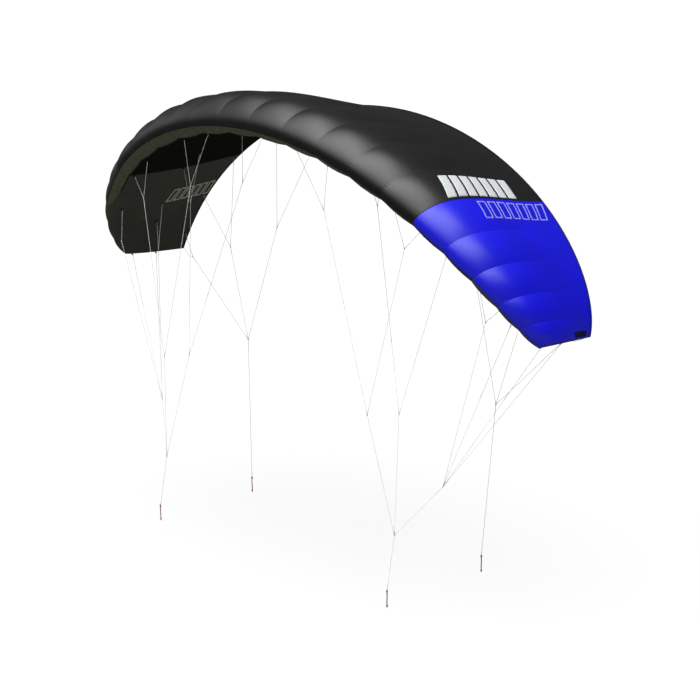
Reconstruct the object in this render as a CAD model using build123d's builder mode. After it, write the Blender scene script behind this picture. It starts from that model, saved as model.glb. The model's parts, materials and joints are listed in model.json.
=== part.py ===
from build123d import *
import os
from math import atan2, cos, hypot, pi, sin, sqrt

os.makedirs("parts", exist_ok=True)

# Four-line ram-air kite: an arched canopy of 21 cells between 22 ribs, a front bridle in three
# levels, a brake bridle on the trailing edge and four pigtails for the flying lines.
# X runs along the span, Y from leading to trailing edge, Z up. Lengths are millimetres.
# A rib is numbered by its distance from the middle in cells: -10.5 at one tip, 10.5 at the other.

# ---- driving dimensions ----
CELL = 317.0  # width of the middle cell; every other length is set from it
TIP_RIB = 10.5  # number of the outermost rib
TAPER = 0.638  # share of its width that the last cell loses
ARC = (1.126, 0.042)  # tangent angle in radians: ARC[0] u + ARC[1] u^3, u = share of half span
SWEEP = (1.484, 0.209)  # how far the front attachment line sweeps back, in cells, with u^2 and u^4
TAIL = (3.944, 0.586, 0.045)  # trailing edge position, in cells: at the middle, less u^2 and u^4
TAIL_RISE = (0.232, 0.102, 0.270)  # trailing edge above the attachment line, in cells
THICKNESS = (0.208, 0.009)  # section thickness as a share of the chord, less u^2
REAR_FLAT = 0.88  # how far the upper surface is flattened towards the trailing edge
CAMBER, CAMBER_AT = 0.0236, 0.1814  # share of the chord, and where along it
LIP = (0.0832, 0.0467)  # chord share of the front attachment line, less u^2
BELLY = 0.018  # fullness of the lower surface, as a share of the chord
PUFF = 0.072  # how far the upper skin stands out between ribs, as a share of the cell width
PUFF_BELOW = 0.35  # the same for the lower skin, as a share of the upper
SKIN = 2.0  # cloth stand-in thickness
RIB = 2.0  # rib stand-in thickness
SEAM = 3.5  # from a rib's middle to the cloth on either side of it
FLAP_AT = 0.86  # chord share where the part pulled down by the brakes begins
FLAP_GAP = 3.0  # half the clearance ahead of that part
FLAP_FROM = 1.5  # rib where that part begins
INTAKE_TO = 7.5  # last rib with an air intake; the cells outside it are closed
COLOUR_RIB = 5.5  # rib where the tip colour begins
LINE_D, MAIN_D = 3.0, 3.4  # bridle line and main line diameters
TAB = (14.0, 20.0)  # webbing tab: along the chord, and below the cloth
KNOT_D, KNOT_L = 10.0, 8.0  # knot barrel
PIVOT = 8.0  # from a knot's middle to the end of the line that swings on it
PIGTAIL_L, PIGTAIL_D, STOP_D = 104.0, 7.0, 13.0
ORIGIN = (0.0, -557.458, 3017.939)  # middle front attachment point, from the frame origin

# Bridle junctions for the side with x > 0, in cells from the middle front attachment point.
A_INNER, A_MIDDLE, A_TIP = (2.263, 0.221, -1.380), (4.413, 0.472, -1.928), (6.146, 1.012, -3.227)
C_INNER, C_MIDDLE, C_TIP = (2.269, 1.680, -1.460), (4.330, 1.740, -2.150), (5.926, 1.921, -3.488)
JOIN_A, JOIN_C, JOIN_TIP = (3.500, 0.255, -5.472), (3.608, 1.035, -5.578), (4.839, 1.110, -6.876)
FRONT_KNOT, FRONT_END = (3.965, 0.560, -8.000), (3.973, 0.337, -9.167)
B_INNER, B_OUTER, B_TIP = (3.300, 3.478, -2.839), (4.940, 3.347, -3.505), (6.232, 3.171, -3.903)
REAR_KNOT, REAR_END = (4.208, 3.251, -5.664), (3.965, 3.079, -9.054)
A_AT, C_AT, BRAKE_AT = 0.11, 0.50, 0.93  # chord shares of the tab rows
BRIDLE_RIBS = (1.5, 2.5, 4.5, 5.5, 7.5, 8.5, 10.5)
BRAKE_RIBS = (1.5, 3.5, 5.5, 7.5, 9.5)


# ---- the arc ----
def cell_width(k):
    return CELL * (1 - TAPER * (k / TIP_RIB) ** 2)


def tangent(k):
    u = abs(k) / TIP_RIB
    return ARC[0] * u + ARC[1] * u**3


def arc_point(k):
    """Where the arc stands at rib number k, by adding up short steps from the middle."""
    steps, x, z = 60, 0.0, 0.0
    step = abs(k) / steps
    for i in range(steps):
        middle = (i + 0.5) * step
        x += step * cell_width(middle) * cos(tangent(middle))
        z -= step * cell_width(middle) * sin(tangent(middle))
    return (x if k >= 0 else -x), z


def rib_plane(k):
    """Plane of a rib: its x runs along the global Y, its y along the outward normal of the arc."""
    x, z = arc_point(k)
    lean = tangent(k) if k >= 0 else -tangent(k)
    return Plane(
        origin=(x + ORIGIN[0], ORIGIN[1], z + ORIGIN[2]),
        x_dir=(0, 1, 0),
        z_dir=(cos(lean), 0, -sin(lean)),
    )


# ---- the section ----
def chord_line(k):
    """Front attachment y, its height in the chord frame, chord length, tilt and its chord share."""
    u = abs(k) / TIP_RIB
    lip = LIP[0] - LIP[1] * u * u
    front = CELL * (SWEEP[0] * u**2 + SWEEP[1] * u**4)
    rear = CELL * (TAIL[0] - TAIL[1] * u**2 - TAIL[2] * u**4)
    rise = CELL * (TAIL_RISE[0] - TAIL_RISE[1] * u**2 - TAIL_RISE[2] * u**4)
    chord = (rear - front) / (1 - lip)
    low = camber(lip) - half_thickness(k, lip)
    tilt = atan2(rise + low * chord, (1 - lip) * chord)
    return front, low, chord, tilt, lip


def half_thickness(k, at):
    share = THICKNESS[0] - THICKNESS[1] * (abs(k) / TIP_RIB) ** 2
    curve = 0.2969 * sqrt(at) - 0.1260 * at - 0.3516 * at**2 + 0.2843 * at**3 - 0.1036 * at**4
    return 5 * share * curve * (1 - REAR_FLAT * at * at)


def camber(at):
    if at < CAMBER_AT:
        return CAMBER / CAMBER_AT**2 * (2 * CAMBER_AT * at - at * at)
    return CAMBER / (1 - CAMBER_AT) ** 2 * (1 - 2 * CAMBER_AT + 2 * CAMBER_AT * at - at * at)


def surface_point(k, at, above):
    """Unpuffed point of the upper or lower surface at a chord share, as (along Y, height)."""
    front, low, chord, tilt, lip = chord_line(k)
    high = camber(at) + half_thickness(k, at) * (1 if above else -1)
    if not above and at > lip:
        back = (at - lip) / (1 - lip)
        high = low * (1 - back) - BELLY * sin(pi * back**0.8)
    along, up = (at - lip) * chord, (high - low) * chord
    return front + along * cos(tilt) - up * sin(tilt), along * sin(tilt) + up * cos(tilt)


def outline(k, fullness=0.0):
    """Points of a section from its lower rear round the nose to its upper rear, with chord shares.

    fullness is 0 at a rib and 1 half way between two, where the cloth stands out furthest.
    """
    shares = [(1 - cos(pi * i / 56)) / 2 for i in range(57)]
    plain = [(surface_point(k, at, False), -at) for at in reversed(shares)]
    plain += [(surface_point(k, at, True), at) for at in shares[1:]]
    points = []
    for i, ((y, h), at) in enumerate(plain):
        (y0, h0), (y1, h1) = plain[max(i - 1, 0)][0], plain[min(i + 1, len(plain) - 1)][0]
        length = hypot(y1 - y0, h1 - h0)
        size = PUFF if at > 0 else PUFF * (PUFF_BELOW + (1 - PUFF_BELOW) * (1 + at) ** 20)
        out = fullness * size * cell_width(k) * (1 - abs(at)) ** 1.5
        points.append((y - (h1 - h0) / length * out, h + (y1 - y0) / length * out))
    return points, [at for _, at in plain]


def arc_lengths(points):
    """Distance of each point along the outline."""
    total, lengths = 0.0, [0.0]
    for (y0, h0), (y1, h1) in zip(points, points[1:]):
        total += hypot(y1 - y0, h1 - h0)
        lengths.append(total)
    return lengths


def between(points, lengths, at):
    """Point of the outline at a distance along it."""
    at = min(max(at, 0.0), lengths[-1])
    for i in range(1, len(lengths)):
        if lengths[i] >= at:
            share = (at - lengths[i - 1]) / (lengths[i] - lengths[i - 1])
            (y0, h0), (y1, h1) = points[i - 1], points[i]
            return y0 + share * (y1 - y0), h0 + share * (h1 - h0)
    return points[-1]


def length_where(values, lengths, wanted, falling):
    """Distance along the outline where a list of values that rises or falls passes one value."""
    for i in range(1, len(values)):
        low, high = values[i - 1], values[i]
        if (low - wanted) * (high - wanted) <= 0 and low != high and (high < low) == falling:
            return lengths[i - 1] + (wanted - low) / (high - low) * (lengths[i] - lengths[i - 1])
    raise ValueError(f"the outline never passes {wanted}")


def flap_y(k):
    """Where the part pulled down by the brakes begins, along Y."""
    below, above = surface_point(k, FLAP_AT, False), surface_point(k, FLAP_AT, True)
    return (below[0] + above[0]) / 2


def intake_share(k):
    """Chord share of the rear edge of the intake: the attachment line, then closing at the end."""
    lip = chord_line(k)[4]
    if abs(k) <= INTAKE_TO - 1:
        return lip
    return lip * (INTAKE_TO - abs(k)) + 0.004 if abs(k) < INTAKE_TO else 0.0


def strip_points(k, fullness, part):
    """Outer and inner edge of one panel's cloth in the plane of rib number k."""
    points, shares = outline(k, fullness)
    lengths = arc_lengths(points)
    nose = length_where(shares, lengths, 0.0, False)
    lip = length_where(shares, lengths, -intake_share(k), False)
    along = [y for y, _ in points]
    cut = flap_y(k) - FLAP_GAP
    rear_below = length_where(along[: len(along) // 2], lengths, cut, True)
    half = len(along) // 2
    rear_above = length_where(along[half:], lengths[half:], cut, False)
    start, end = {
        "upper": (nose + 1.5, rear_above),
        "intake": (lip + 1.5, nose - 1.5),
        "lower": (rear_below, min(lip, nose - 3) - 1.5),
    }[part]
    count = {"upper": 22, "intake": 9, "lower": 14}[part]
    outer, inner = [], []
    for i in range(count):
        share = i / (count - 1)
        share = share**1.6 if part == "upper" else share
        at = start + (end - start) * share
        (y0, h0), (y1, h1) = between(points, lengths, at - 2), between(points, lengths, at + 2)
        length = hypot(y1 - y0, h1 - h0)
        y, h = between(points, lengths, at)
        outer.append((y, h))
        inner.append((y + (h1 - h0) / length * SKIN, h - (y1 - y0) / length * SKIN))
    return outer, inner


def cell_stations(inner_rib):
    """Plane numbers of one cell's panel from seam to seam, each with the cloth's fullness there."""
    edge = SEAM / cell_width(inner_rib + 0.5)
    return [(inner_rib + edge, 0.0), (inner_rib + 0.5, 1.0), (inner_rib + 1 - edge, 0.0)]


def cells(low, high):
    """Inner rib numbers of the cells between two ribs, counted along X."""
    return [low + i for i in range(round(high - low))]


def spline_strip(k, outer, inner):
    """Thin closed profile between an outer and an inner edge, drawn on the plane of rib k."""
    with BuildSketch(rib_plane(k)) as strip:
        with BuildLine():
            rim, lining = Spline(*outer), Spline(*reversed(inner))
            Line(rim @ 1, lining @ 0)
            Line(lining @ 1, rim @ 0)
        make_face()
    return strip.sketch


def panel_profiles(inner_rib, part):
    """Profiles of one cell's panel at its two seams and half way between them."""
    return [
        spline_strip(k, *strip_points(k, full, part)) for k, full in cell_stations(inner_rib)
    ]


def flap_profiles(inner_rib):
    """Profiles of one cell's trailing edge: both skins meeting in the hem."""
    profiles = []
    for k, full in cell_stations(inner_rib):
        points, _ = outline(k, full)
        half, cut = len(points) // 2, flap_y(k) + FLAP_GAP
        lengths = arc_lengths(points)
        along = [y for y, _ in points]
        low = between(points, lengths, length_where(along[:half], lengths, cut, True))
        high = between(points, lengths, length_where(along[half:], lengths[half:], cut, False))
        hem_y, hem_h = surface_point(k, 1.0, True)
        deep = high[1] - low[1]
        share = 0.97 * (deep - 2 * SKIN) / (deep - SKIN)
        middle = (low[1] + high[1]) / 2 * (1 - share) + hem_h * share
        with BuildSketch(rib_plane(k)) as profile:
            with BuildLine():
                Polyline(
                    low,
                    (hem_y, hem_h - SKIN / 2),
                    (hem_y, hem_h + SKIN / 2),
                    high,
                    (high[0], high[1] - SKIN),
                    (cut + (hem_y - cut) * share, middle),
                    (low[0], low[1] + SKIN),
                    close=True,
                )
            make_face()
        profiles.append(profile.sketch)
    return profiles


# ---- the skins ----
def skin(part, low, high):
    """All of one colour's panels of one surface, cell by cell between two ribs."""
    with BuildPart() as panels:
        for inner_rib in cells(low, high):
            loft(sections=panel_profiles(inner_rib, part))
    return panels.part


with BuildPart() as upper_skin_left:
    add(skin("upper", -TIP_RIB, -COLOUR_RIB))
with BuildPart() as upper_skin_centre:
    add(skin("upper", -COLOUR_RIB, COLOUR_RIB))
with BuildPart() as upper_skin_right:
    add(skin("upper", COLOUR_RIB, TIP_RIB))
with BuildPart() as lower_skin_left:
    add(skin("lower", -TIP_RIB, -COLOUR_RIB))
with BuildPart() as lower_skin_centre:
    add(skin("lower", -COLOUR_RIB, COLOUR_RIB))
with BuildPart() as lower_skin_right:
    add(skin("lower", COLOUR_RIB, TIP_RIB))

# ---- the air intakes: an open-meshed band under the nose, with three windows in each cell ----
WINDOW_SHARE, WINDOW_BAR = 0.66, 20.0  # of the band's depth, and the tape between windows

with BuildPart() as intake_band:
    for inner_rib in cells(-INTAKE_TO, INTAKE_TO):
        loft(sections=panel_profiles(inner_rib, "intake"))
    for inner_rib in cells(1 - INTAKE_TO, INTAKE_TO - 1):
        middle = inner_rib + 0.5
        outer, _ = strip_points(middle, 1.0, "intake")
        (y0, h0), (y, h), (y1, h1) = outer[3], outer[4], outer[5]
        deep = hypot(outer[8][0] - outer[0][0], outer[8][1] - outer[0][1])
        wide = (cell_width(middle) - 2 * SEAM - 2 * WINDOW_BAR) / 3 - WINDOW_BAR / 3
        section = rib_plane(middle)
        face = Plane(
            origin=section.from_local_coords((y, h, 0)),
            x_dir=section.z_dir,
            z_dir=section.from_local_coords((y1 - y0, h1 - h0, 0))
            - section.from_local_coords((0, 0, 0)),
        )
        face = Plane(origin=face.origin, x_dir=face.x_dir, z_dir=face.z_dir.cross(face.x_dir))
        with BuildSketch(face):
            with GridLocations(wide + WINDOW_BAR, 0, 3, 1):
                RectangleRounded(wide, deep * WINDOW_SHARE, 12)
        extrude(amount=deep * 0.45, both=True, mode=Mode.SUBTRACT)


# ---- the ribs ----
def rib_edge(k):
    """Outline of a rib ahead of the braked part, from its lower rear round to its upper rear."""
    points, shares = outline(k)
    lengths, along = arc_lengths(points), [y for y, _ in points]
    half, cut = len(points) // 2, flap_y(k) - FLAP_GAP
    start = length_where(along[:half], lengths, cut, True)
    end = length_where(along[half:], lengths[half:], cut, False)
    nose = length_where(shares, lengths, 0.0, False)
    below = [nose + (start - nose) * (i / 20) ** 1.7 for i in range(20, 0, -1)]
    above = [nose + (end - nose) * (i / 20) ** 1.7 for i in range(21)]
    return [between(points, lengths, at) for at in below + above]


def ribs(numbers, vents):
    """Rib plates with round cross vents at the given chord shares."""
    with BuildPart() as plates:
        for k in numbers:
            edge = rib_edge(k)
            with BuildSketch(rib_plane(k)):
                with BuildLine():
                    rim = Spline(*edge)
                    Line(rim @ 1, rim @ 0)
                make_face()
                for at in vents:
                    (y0, h0), (y1, h1) = surface_point(k, at, False), surface_point(k, at, True)
                    with Locations(((y0 + y1) / 2, (h0 + h1) / 2)):
                        Circle(0.27 * (h1 - h0), mode=Mode.SUBTRACT)
            extrude(amount=RIB / 2, both=True)
    return plates.part


def rib_tails(numbers):
    """The part of each rib behind the cut, inside the trailing edge."""
    with BuildPart() as plates:
        for k in numbers:
            points, _ = outline(k)
            lengths, along = arc_lengths(points), [y for y, _ in points]
            half, cut = len(points) // 2, flap_y(k) + FLAP_GAP
            low = between(points, lengths, length_where(along[:half], lengths, cut, True))
            high = between(
                points, lengths, length_where(along[half:], lengths[half:], cut, False)
            )
            with BuildSketch(rib_plane(k)):
                with BuildLine():
                    Polyline(low, surface_point(k, 0.995, True), high, close=True)
                make_face()
            extrude(amount=RIB / 2, both=True)
    return plates.part


def both_sides(numbers):
    return [-k for k in numbers] + list(numbers)


with BuildPart() as plain_ribs:
    add(ribs(both_sides((0.5, 3.5, 6.5, 9.5)), (0.10, 0.22, 0.36, 0.52, 0.68)))
with BuildPart() as bridle_ribs:
    add(ribs(both_sides(BRIDLE_RIBS[:-1]), (0.22, 0.36, 0.64)))
with BuildPart() as tip_ribs:
    add(ribs(both_sides((TIP_RIB,)), ()))


# ---- the trailing edge: a fixed middle and the part each brake pulls down ----
def flap(low, high):
    with BuildPart() as edge:
        for inner_rib in cells(low, high):
            loft(sections=flap_profiles(inner_rib), ruled=True)
    return edge.part


FLAP_RIBS = [FLAP_FROM + i for i in range(round(TIP_RIB - FLAP_FROM) + 1)]

with BuildPart() as trailing_edge_centre:
    add(flap(-FLAP_FROM, FLAP_FROM))
with BuildPart() as centre_rib_tails:
    add(rib_tails((-0.5, 0.5)))
with BuildPart() as brake_flap_right:
    add(flap(FLAP_FROM, TIP_RIB))
with BuildPart() as brake_flap_left:
    add(flap(-TIP_RIB, -FLAP_FROM))
with BuildPart() as flap_ribs_right:
    add(rib_tails(FLAP_RIBS))
with BuildPart() as flap_ribs_left:
    add(rib_tails([-k for k in FLAP_RIBS]))


# ---- webbing tabs under the ribs, where the bridle is looped on ----
def tab_hole(k, at):
    y, h = surface_point(k, at, False)
    return y, h - 1.0 - TAB[1] * 0.7


def tabs(places):
    """Tabs at (rib, chord share) places, each a plate on the rib's own plane with an eye."""
    with BuildPart() as plates:
        for k, at in places:
            y, h = tab_hole(k, at)
            with BuildSketch(rib_plane(k)):
                with Locations((y, h + TAB[1] * 0.2)):
                    RectangleRounded(TAB[0], TAB[1], 4)
                with Locations((y, h)):
                    Circle(2.6, mode=Mode.SUBTRACT)
            extrude(amount=RIB / 2, both=True)
    return plates.part


FRONT_TABS = [(k, at) for k in BRIDLE_RIBS for at in (A_AT, C_AT)]

with BuildPart() as front_tabs:
    add(tabs(FRONT_TABS + [(-k, at) for k, at in FRONT_TABS]))
with BuildPart() as brake_tabs_right:
    add(tabs([(k, BRAKE_AT) for k in BRAKE_RIBS]))
with BuildPart() as brake_tabs_left:
    add(tabs([(-k, BRAKE_AT) for k in BRAKE_RIBS]))


# ---- the bridle ----
def at_tab(k, at):
    return rib_plane(k).from_local_coords((*tab_hole(k, at), 0))


def junction(point, side):
    """A bridle junction in the frame; side is 1 for x > 0 and -1 for its mirror."""
    x, y, z = point
    return Vector(side * x * CELL + ORIGIN[0], y * CELL + ORIGIN[1], z * CELL + ORIGIN[2])


def lines(ends, diameter=LINE_D):
    """Straight lines under tension between pairs of points."""
    with BuildPart() as cords:
        for start, end in ends:
            with BuildSketch(Plane(origin=start, z_dir=end - start)):
                Circle(diameter / 2)
            extrude(amount=(end - start).length)
    return cords.part


def knots(points):
    """Knots drawn as short barrels along X with a wrap along Y."""
    with BuildPart() as barrels:
        for point in points:
            with BuildSketch(Plane(origin=point, z_dir=(1, 0, 0))):
                Circle(KNOT_D / 2)
            extrude(amount=KNOT_L / 2, both=True)
            with BuildSketch(Plane(origin=point, z_dir=(0, 1, 0))):
                Circle(KNOT_D * 0.4)
            extrude(amount=KNOT_L * 0.7, both=True)
    return barrels.part


def row(side, at, groups):
    """Upper lines of one row: (ribs, junction) groups."""
    return lines(
        [
            (at_tab(side * k, at), junction(meeting, side))
            for numbers, meeting in groups
            for k in numbers
        ]
    )


A_ROW = (((1.5, 2.5), A_INNER), ((4.5, 5.5), A_MIDDLE), ((7.5, 8.5), A_TIP), ((10.5,), JOIN_TIP))
C_ROW = (((1.5, 2.5), C_INNER), ((4.5, 5.5), C_MIDDLE), ((7.5, 8.5), C_TIP), ((10.5,), JOIN_TIP))
MIDDLE = (
    (A_INNER, JOIN_A), (A_MIDDLE, JOIN_A), (C_INNER, JOIN_C), (C_MIDDLE, JOIN_C),
    (A_TIP, JOIN_TIP), (C_TIP, JOIN_TIP),
)
LOWER = ((JOIN_A, FRONT_KNOT), (JOIN_C, FRONT_KNOT), (JOIN_TIP, FRONT_KNOT))
BRAKE_ROW = (((1.5, 3.5), B_INNER), ((5.5, 7.5), B_OUTER), ((9.5,), B_TIP))
BRAKE_LOWER = ((B_INNER, REAR_KNOT), (B_OUTER, REAR_KNOT), (B_TIP, REAR_KNOT))
FRONT_JOINS = (A_INNER, A_MIDDLE, A_TIP, C_INNER, C_MIDDLE, C_TIP, JOIN_A, JOIN_C, JOIN_TIP)


def joined(pairs, side):
    return lines([(junction(a, side), junction(b, side)) for a, b in pairs])


def hanging(top, bottom, side):
    """A main line between two pivots, short of both so that it can swing."""
    start, end = junction(top, side), junction(bottom, side)
    along = (end - start).normalized()
    return lines([(start + along * PIVOT, end - along * PIVOT)], MAIN_D)


def pigtail(top, side):
    """Sheathed cord with a stopper knot tied in its lower end, hanging from a pivot."""
    start = junction(top, side) - Vector(0, 0, PIVOT)
    with BuildPart() as cord:
        with BuildSketch(Plane.XY.offset(start.Z)):
            with Locations((start.X, start.Y)):
                Circle(PIGTAIL_D / 2)
        extrude(amount=-PIGTAIL_L)
        with Locations(start - Vector(0, 0, PIGTAIL_L - 12)):
            Sphere(STOP_D / 2)
        fillet(cord.edges().group_by(Axis.Z)[-1], 1.6)
        fillet(cord.edges().group_by(Axis.Z)[0], 1.6)
    return cord.part


with BuildPart() as upper_lines_a_right:
    add(row(1, A_AT, A_ROW))
with BuildPart() as upper_lines_a_left:
    add(row(-1, A_AT, A_ROW))
with BuildPart() as upper_lines_c_right:
    add(row(1, C_AT, C_ROW))
with BuildPart() as upper_lines_c_left:
    add(row(-1, C_AT, C_ROW))
with BuildPart() as middle_lines_right:
    add(joined(MIDDLE, 1))
with BuildPart() as middle_lines_left:
    add(joined(MIDDLE, -1))
with BuildPart() as lower_lines_right:
    add(joined(LOWER, 1))
with BuildPart() as lower_lines_left:
    add(joined(LOWER, -1))
with BuildPart() as bridle_knots_right:
    add(knots([junction(p, 1) for p in FRONT_JOINS]))
with BuildPart() as bridle_knots_left:
    add(knots([junction(p, -1) for p in FRONT_JOINS]))
with BuildPart() as front_knot_right:
    add(knots([junction(FRONT_KNOT, 1)]))
with BuildPart() as front_knot_left:
    add(knots([junction(FRONT_KNOT, -1)]))

with BuildPart() as brake_upper_lines_right:
    add(row(1, BRAKE_AT, BRAKE_ROW))
with BuildPart() as brake_upper_lines_left:
    add(row(-1, BRAKE_AT, BRAKE_ROW))
with BuildPart() as brake_lower_lines_right:
    add(joined(BRAKE_LOWER, 1))
with BuildPart() as brake_lower_lines_left:
    add(joined(BRAKE_LOWER, -1))
with BuildPart() as brake_knots_right:
    add(knots([junction(p, 1) for p in (B_INNER, B_OUTER, B_TIP)]))
with BuildPart() as brake_knots_left:
    add(knots([junction(p, -1) for p in (B_INNER, B_OUTER, B_TIP)]))
with BuildPart() as rear_knot_right:
    add(knots([junction(REAR_KNOT, 1)]))
with BuildPart() as rear_knot_left:
    add(knots([junction(REAR_KNOT, -1)]))

# ---- main lines, pigtail knots and pigtails ----
with BuildPart() as front_main_line_right:
    add(hanging(FRONT_KNOT, FRONT_END, 1))
with BuildPart() as front_main_line_left:
    add(hanging(FRONT_KNOT, FRONT_END, -1))
with BuildPart() as rear_main_line_right:
    add(hanging(REAR_KNOT, REAR_END, 1))
with BuildPart() as rear_main_line_left:
    add(hanging(REAR_KNOT, REAR_END, -1))
with BuildPart() as front_pigtail_knot_right:
    add(knots([junction(FRONT_END, 1)]))
with BuildPart() as front_pigtail_knot_left:
    add(knots([junction(FRONT_END, -1)]))
with BuildPart() as rear_pigtail_knot_right:
    add(knots([junction(REAR_END, 1)]))
with BuildPart() as rear_pigtail_knot_left:
    add(knots([junction(REAR_END, -1)]))
with BuildPart() as front_pigtail_right:
    add(pigtail(FRONT_END, 1))
with BuildPart() as front_pigtail_left:
    add(pigtail(FRONT_END, -1))
with BuildPart() as rear_pigtail_right:
    add(pigtail(REAR_END, 1))
with BuildPart() as rear_pigtail_left:
    add(pigtail(REAR_END, -1))

# ---- plain patch sewn near the right tip's rear corner ----
PATCH_RIBS, PATCH_SHARES, PATCH_LIFT, PATCH = (10.10, 10.42), (0.62, 0.82), 2.6, 1.2

with BuildPart() as tip_patch:
    profiles = []
    for k in PATCH_RIBS:
        ends = [surface_point(k, at, True) for at in PATCH_SHARES]
        inner = [(y, h + PATCH_LIFT) for y, h in ends]
        outer = [(y, h + PATCH_LIFT + PATCH) for y, h in ends]
        with BuildSketch(rib_plane(k)) as profile:
            with BuildLine():
                Polyline(*outer, *reversed(inner), close=True)
            make_face()
        profiles.append(profile.sketch)
    loft(sections=profiles, ruled=True)

# ---- one file for each piece ----
PIECES = {
    "upper_skin_left": upper_skin_left,
    "upper_skin_centre": upper_skin_centre,
    "upper_skin_right": upper_skin_right,
    "lower_skin_left": lower_skin_left,
    "lower_skin_centre": lower_skin_centre,
    "lower_skin_right": lower_skin_right,
    "intake_band": intake_band,
    "plain_ribs": plain_ribs,
    "bridle_ribs": bridle_ribs,
    "tip_ribs": tip_ribs,
    "trailing_edge_centre": trailing_edge_centre,
    "centre_rib_tails": centre_rib_tails,
    "tip_patch": tip_patch,
    "front_tabs": front_tabs,
    "upper_lines_a_left": upper_lines_a_left,
    "upper_lines_a_right": upper_lines_a_right,
    "upper_lines_c_left": upper_lines_c_left,
    "upper_lines_c_right": upper_lines_c_right,
    "middle_lines_left": middle_lines_left,
    "middle_lines_right": middle_lines_right,
    "lower_lines_left": lower_lines_left,
    "lower_lines_right": lower_lines_right,
    "bridle_knots_left": bridle_knots_left,
    "bridle_knots_right": bridle_knots_right,
    "front_knot_left": front_knot_left,
    "front_knot_right": front_knot_right,
    "brake_flap_left": brake_flap_left,
    "brake_flap_right": brake_flap_right,
    "flap_ribs_left": flap_ribs_left,
    "flap_ribs_right": flap_ribs_right,
    "brake_tabs_left": brake_tabs_left,
    "brake_tabs_right": brake_tabs_right,
    "brake_upper_lines_left": brake_upper_lines_left,
    "brake_upper_lines_right": brake_upper_lines_right,
    "brake_lower_lines_left": brake_lower_lines_left,
    "brake_lower_lines_right": brake_lower_lines_right,
    "brake_knots_left": brake_knots_left,
    "brake_knots_right": brake_knots_right,
    "rear_knot_left": rear_knot_left,
    "rear_knot_right": rear_knot_right,
    "front_main_line_left": front_main_line_left,
    "front_main_line_right": front_main_line_right,
    "rear_main_line_left": rear_main_line_left,
    "rear_main_line_right": rear_main_line_right,
    "front_pigtail_knot_left": front_pigtail_knot_left,
    "front_pigtail_knot_right": front_pigtail_knot_right,
    "rear_pigtail_knot_left": rear_pigtail_knot_left,
    "rear_pigtail_knot_right": rear_pigtail_knot_right,
    "front_pigtail_left": front_pigtail_left,
    "front_pigtail_right": front_pigtail_right,
    "rear_pigtail_left": rear_pigtail_left,
    "rear_pigtail_right": rear_pigtail_right,
}
for name, piece in PIECES.items():
    piece.part.label = name
    export_step(piece.part, f"parts/{name}.step")
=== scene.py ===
import json
import math
from contextlib import contextmanager

import bmesh
import bpy
import numpy as np
from mathutils import Matrix, Vector

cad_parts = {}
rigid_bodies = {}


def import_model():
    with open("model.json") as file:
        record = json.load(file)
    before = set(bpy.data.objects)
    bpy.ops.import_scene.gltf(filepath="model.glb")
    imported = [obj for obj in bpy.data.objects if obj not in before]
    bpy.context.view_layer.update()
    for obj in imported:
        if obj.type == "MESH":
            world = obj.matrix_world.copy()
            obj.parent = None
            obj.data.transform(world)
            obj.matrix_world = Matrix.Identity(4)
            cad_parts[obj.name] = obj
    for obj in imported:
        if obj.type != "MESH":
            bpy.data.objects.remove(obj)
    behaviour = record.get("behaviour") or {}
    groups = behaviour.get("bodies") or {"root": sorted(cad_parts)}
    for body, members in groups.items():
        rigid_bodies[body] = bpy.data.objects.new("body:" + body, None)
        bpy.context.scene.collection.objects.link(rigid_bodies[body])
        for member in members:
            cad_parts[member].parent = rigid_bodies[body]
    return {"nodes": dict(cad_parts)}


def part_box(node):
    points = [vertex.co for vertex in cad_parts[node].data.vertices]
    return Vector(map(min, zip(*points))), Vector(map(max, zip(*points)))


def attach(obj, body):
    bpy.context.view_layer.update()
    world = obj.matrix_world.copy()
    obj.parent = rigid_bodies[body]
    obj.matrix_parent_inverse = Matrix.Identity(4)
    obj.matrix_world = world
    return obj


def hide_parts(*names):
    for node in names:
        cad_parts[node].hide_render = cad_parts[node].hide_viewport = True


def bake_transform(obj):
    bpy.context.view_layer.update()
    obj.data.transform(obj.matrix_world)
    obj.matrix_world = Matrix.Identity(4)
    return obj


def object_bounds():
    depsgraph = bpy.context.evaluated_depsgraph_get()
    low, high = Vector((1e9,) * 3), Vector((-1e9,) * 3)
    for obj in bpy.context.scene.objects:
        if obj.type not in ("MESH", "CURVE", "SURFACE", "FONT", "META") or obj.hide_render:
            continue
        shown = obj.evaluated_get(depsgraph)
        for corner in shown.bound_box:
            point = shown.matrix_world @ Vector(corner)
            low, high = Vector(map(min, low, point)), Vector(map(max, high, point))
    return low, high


# Looks of a four-line ram-air kite. Metres; X along the span, Y from nose to trailing edge, Z up.
# A rib is numbered by its distance from the middle in cells, from -10.5 to 10.5.
# Round a section, "turn" runs from -pi at the lower trailing edge over 0 at the nose to pi at the
# upper trailing edge, and the chord share there is (1 - cos(turn)) / 2.

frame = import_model()
cad_low, cad_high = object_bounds()

# ---- driving dimensions, as in the CAD part ----
CELL = 0.317  # width of the middle cell
TIP_RIB = 10.5
TAPER = 0.638  # how much narrower the tip cells are
ARC = (1.126, 0.042)  # lean of a tip rib in radians, growing with the rib number and its cube
SWEEP = (1.484, 0.209)  # how far the tips' front lies back, in cells, by square and fourth power
TAIL = (3.944, 0.586, 0.045)  # trailing edge in the middle, and how far it comes forward outward
TAIL_RISE = (0.232, 0.102, 0.270)  # its height over the front edge, and what that loses outward
THICKNESS = (0.208, 0.009)  # of the chord in the middle, and what the tips have less
REAR_FLAT = 0.88
CAMBER, CAMBER_AT = 0.0236, 0.1814
LIP = (0.0832, 0.0467)  # chord share of the intakes' rear edge, and what the tips have less
BELLY = 0.018
FLAP_AT = 0.86  # chord share where the braked trailing edge starts
INTAKE_TO = 7.5  # last rib with an intake beside it
COLOUR_RIB = 5.5  # rib where the colour changes
TAB_DROP = 0.015  # from the cloth to the eye of a tab
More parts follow.
